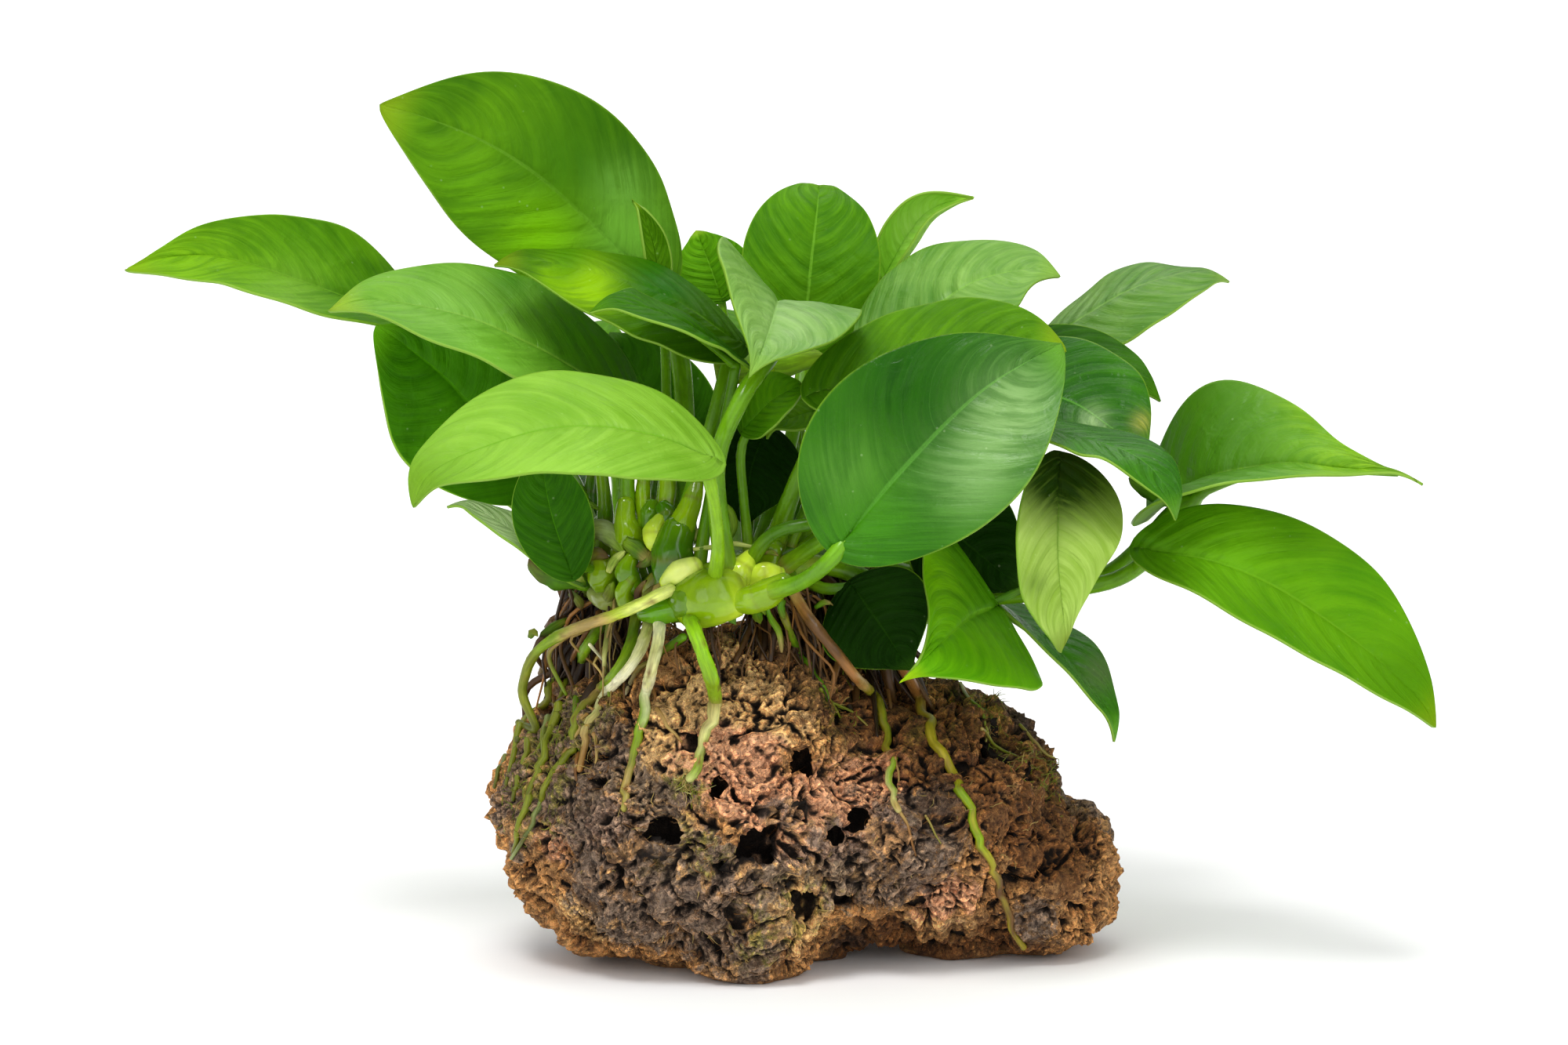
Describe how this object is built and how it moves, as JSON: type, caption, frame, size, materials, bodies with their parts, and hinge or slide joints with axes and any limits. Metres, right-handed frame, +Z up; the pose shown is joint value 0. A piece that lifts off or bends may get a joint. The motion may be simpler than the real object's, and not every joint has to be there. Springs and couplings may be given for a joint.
{
  "type": "anubias on stone",
  "caption": "Aquarium plant with broad pointed leaves on thick stalks, growing from a creeping rhizome whose roots cling to a rounded lump of porous lava stone.",
  "frame": {"origin": "middle of the flat patch that the stone rests on", "axes": "+Z up, -Y towards the plant's front as the picture shows it, +X to the right in that view"},
  "size_m": [0.205, 0.1183, 0.1416],
  "materials": {
    "lava_rock": "rough porous lava, rust brown with dark crusts",
    "leaf_green": "smooth living leaf, waxy gloss",
    "leaf_bright": "smooth young leaf, waxy gloss",
    "leaf_dark": "smooth leaf in the plant's shade, waxy gloss",
    "rhizome_green": "smooth green stem with dry brown scales",
    "root_olive": "matt root, olive to brown",
    "root_pale": "matt root, whitish"
  },
  "bodies": {
    "root": {"leaf_back": "leaf_green", "leaf_back_left": "leaf_green", "leaf_back_low_left": "leaf_green", "leaf_back_low_right": "leaf_green", "leaf_back_right": "leaf_green", "leaf_behind_right": "leaf_dark", "leaf_big_front": "leaf_green", "leaf_centre_back": "leaf_bright", "leaf_centre_bright": "leaf_bright", "leaf_centre_dark": "leaf_dark", "leaf_centre_fold": "leaf_green", "leaf_centre_small": "leaf_dark", "leaf_dark_band": "leaf_dark", "leaf_dark_left": "leaf_dark", "leaf_far_left": "leaf_green", "leaf_front_left": "leaf_bright", "leaf_inner_left": "leaf_dark", "leaf_left_mid": "leaf_green", "leaf_low_dark": "leaf_dark", "leaf_low_left": "leaf_green", "leaf_low_right": "leaf_green", "leaf_low_right_narrow": "leaf_dark", "leaf_right_behind": "leaf_dark", "leaf_right_far_upper": "leaf_green", "leaf_right_fold": "leaf_green", "leaf_right_gloss": "leaf_dark", "leaf_right_hanging": "leaf_bright", "leaf_right_out_lower": "leaf_green", "leaf_right_out_upper": "leaf_green", "leaf_right_thin": "leaf_green", "leaf_right_upper": "leaf_bright", "leaf_rolled": "leaf_bright", "leaf_small_left": "leaf_dark", "leaf_top_back": "leaf_green", "leaf_top_left": "leaf_green", "leaf_upper_band": "leaf_bright", "leaf_young_tip": "leaf_bright", "rhizome": "rhizome_green", "root_back_left": "root_olive", "root_back_right": "root_olive", "root_far_left": "root_olive", "root_green": "root_olive", "root_left": "root_olive", "root_left_low": "root_olive", "root_long_right": "root_olive", "root_pale": "root_pale", "root_right": "root_olive", "root_short": "root_olive", "root_white": "root_pale", "stone": "lava_rock"}
  },
  "joints": []
}
